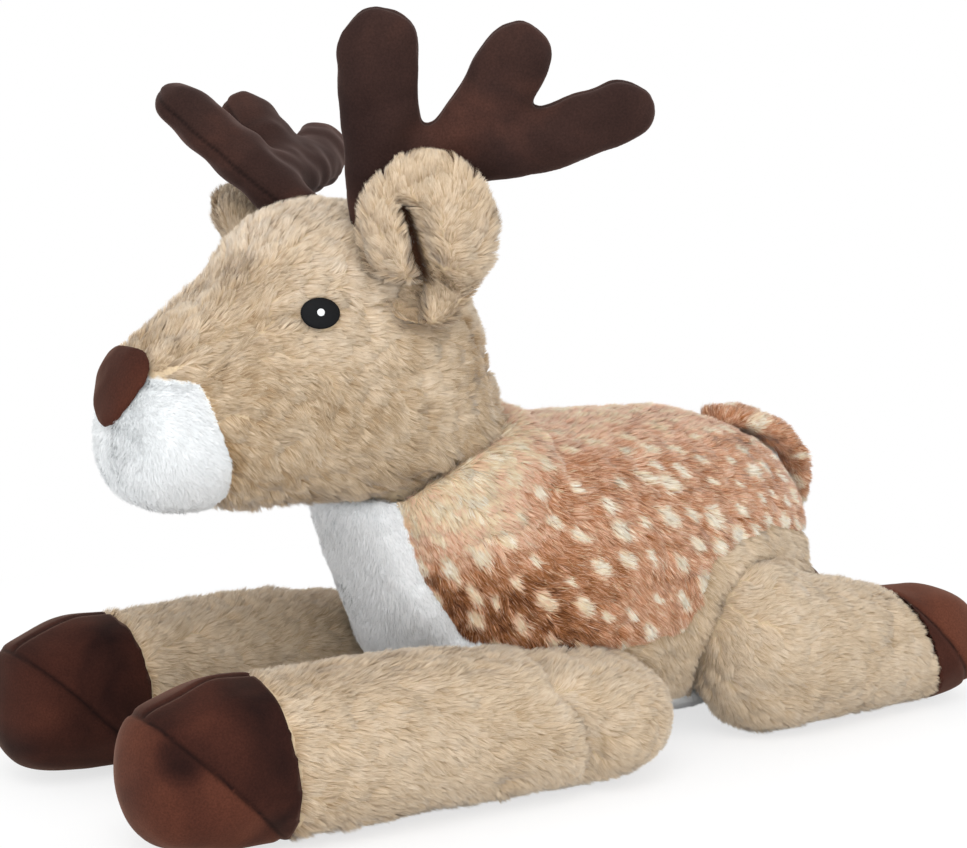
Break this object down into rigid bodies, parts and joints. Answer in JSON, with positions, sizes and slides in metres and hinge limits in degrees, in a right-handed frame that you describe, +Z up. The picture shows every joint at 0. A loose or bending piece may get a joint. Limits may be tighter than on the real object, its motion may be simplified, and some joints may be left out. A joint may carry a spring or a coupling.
{
  "type": "plush lying deer",
  "caption": "Large lying plush deer with a spotted saddle, white muzzle, chest and belly, folded ears, velvet antlers and velvet hooves; head, legs, tail, ears and antlers flex.",
  "frame": {"origin": "on the floor under the middle of the trunk, on the flat of the belly", "axes": "-Y is forward, the way the deer faces; +X is its left side, +Z is up"},
  "size_m": [0.398, 0.7539, 0.5408],
  "materials": {
    "tan_plush": "matte long-pile plush, tan",
    "spotted_plush": "matte long-pile plush, rust with cream spots",
    "white_plush": "matte short-pile plush, white",
    "hoof_velvet": "short velvet with a soft sheen, brown",
    "antler_velvet": "short velvet with a soft sheen, dark brown",
    "eye_plastic": "smooth black disc, low gloss",
    "glint_print": "small white dot on the eye",
    "filling": "soft fibre filling, hidden"
  },
  "bodies": {
    "trunk": {"chest_bib": "white_plush", "saddle": "spotted_plush", "belly_panel": "white_plush", "flank_left": "tan_plush", "flank_right": "tan_plush", "body_filling": "filling"},
    "head": {"head_gusset": "tan_plush", "cheek_left": "tan_plush", "cheek_right": "tan_plush", "muzzle_left": "white_plush", "muzzle_right": "white_plush", "neck_cup": "tan_plush", "nose": "hoof_velvet", "eye_left": "eye_plastic", "eye_glint_left": "glint_print", "eye_right": "eye_plastic", "eye_glint_right": "glint_print", "head_filling": "filling"},
    "foreleg_left": {"foreleg_left_sleeve": "tan_plush", "foreleg_left_sole": "hoof_velvet", "foreleg_left_hoof_outer": "hoof_velvet", "foreleg_left_hoof_inner": "hoof_velvet", "foreleg_left_filling": "filling"},
    "foreleg_right": {"foreleg_right_sleeve": "tan_plush", "foreleg_right_sole": "hoof_velvet", "foreleg_right_hoof_outer": "hoof_velvet", "foreleg_right_hoof_inner": "hoof_velvet", "foreleg_right_filling": "filling"},
    "hind_leg_left": {"hind_leg_left_sleeve": "tan_plush", "hind_leg_left_sole": "hoof_velvet", "hind_leg_left_hoof_outer": "hoof_velvet", "hind_leg_left_hoof_inner": "hoof_velvet", "hind_leg_left_filling": "filling"},
    "hind_leg_right": {"hind_leg_right_sleeve": "tan_plush", "hind_leg_right_sole": "hoof_velvet", "hind_leg_right_hoof_outer": "hoof_velvet", "hind_leg_right_hoof_inner": "hoof_velvet", "hind_leg_right_filling": "filling"},
    "tail": {"tail_top": "spotted_plush", "tail_underside": "white_plush", "tail_filling": "filling"},
    "ear_left": {"ear_left": "tan_plush", "ear_left_lining": "tan_plush"},
    "ear_right": {"ear_right": "tan_plush", "ear_right_lining": "tan_plush"},
    "antler_left": {"antler_left_outer_face": "antler_velvet", "antler_left_inner_face": "antler_velvet", "antler_left_filling": "filling"},
    "antler_right": {"antler_right_outer_face": "antler_velvet", "antler_right_inner_face": "antler_velvet", "antler_right_filling": "filling"}
  },
  "joints": [
    {"name": "head_nod", "type": "hinge", "parent": "trunk", "child": "head", "pos_m": [0, -0.107, 0.228], "axis": [1, 0, 0], "range_deg": [-8, 8], "stiffness_Nm_per_rad": 12},
    {"name": "foreleg_left_spread", "type": "hinge", "parent": "trunk", "child": "foreleg_left", "pos_m": [0.121, -0.032, 0.0455], "axis": [0, 0, 1], "range_deg": [0, 25], "stiffness_Nm_per_rad": 3},
    {"name": "foreleg_right_spread", "type": "hinge", "parent": "trunk", "child": "foreleg_right", "pos_m": [-0.121, -0.032, 0.0455], "axis": [0, 0, -1], "range_deg": [0, 25], "stiffness_Nm_per_rad": 3},
    {"name": "hind_leg_left_spread", "type": "hinge", "parent": "trunk", "child": "hind_leg_left", "pos_m": [0.102, 0.143, 0.0675], "axis": [0, 0, -1], "range_deg": [0, 20], "stiffness_Nm_per_rad": 3},
    {"name": "hind_leg_right_spread", "type": "hinge", "parent": "trunk", "child": "hind_leg_right", "pos_m": [-0.102, 0.143, 0.0675], "axis": [0, 0, 1], "range_deg": [0, 20], "stiffness_Nm_per_rad": 3},
    {"name": "tail_lift", "type": "hinge", "parent": "trunk", "child": "tail", "pos_m": [0, 0.19, 0.2264], "axis": [1, 0, 0], "range_deg": [0, 50], "stiffness_Nm_per_rad": 0.6},
    {"name": "ear_left_fold", "type": "hinge", "parent": "head", "child": "ear_left", "pos_m": [0.0873, -0.1509, 0.3396], "axis": [0.5722, 0.8172, -0.0698], "range_deg": [0, 22], "stiffness_Nm_per_rad": 0.6},
    {"name": "ear_right_fold", "type": "hinge", "parent": "head", "child": "ear_right", "pos_m": [-0.0873, -0.1509, 0.3396], "axis": [0.4755, -0.6791, 0.5592], "range_deg": [-4, 8], "stiffness_Nm_per_rad": 0.6},
    {"name": "antler_left_lean", "type": "hinge", "parent": "head", "child": "antler_left", "pos_m": [0.0484, -0.165, 0.3983], "axis": [0.5736, 0.8192, 0], "range_deg": [-8, 3], "stiffness_Nm_per_rad": 2},
    {"name": "antler_right_lean", "type": "hinge", "parent": "head", "child": "antler_right", "pos_m": [-0.0484, -0.165, 0.3983], "axis": [0.5736, -0.8192, 0], "range_deg": [-6, 5], "stiffness_Nm_per_rad": 2}
  ]
}
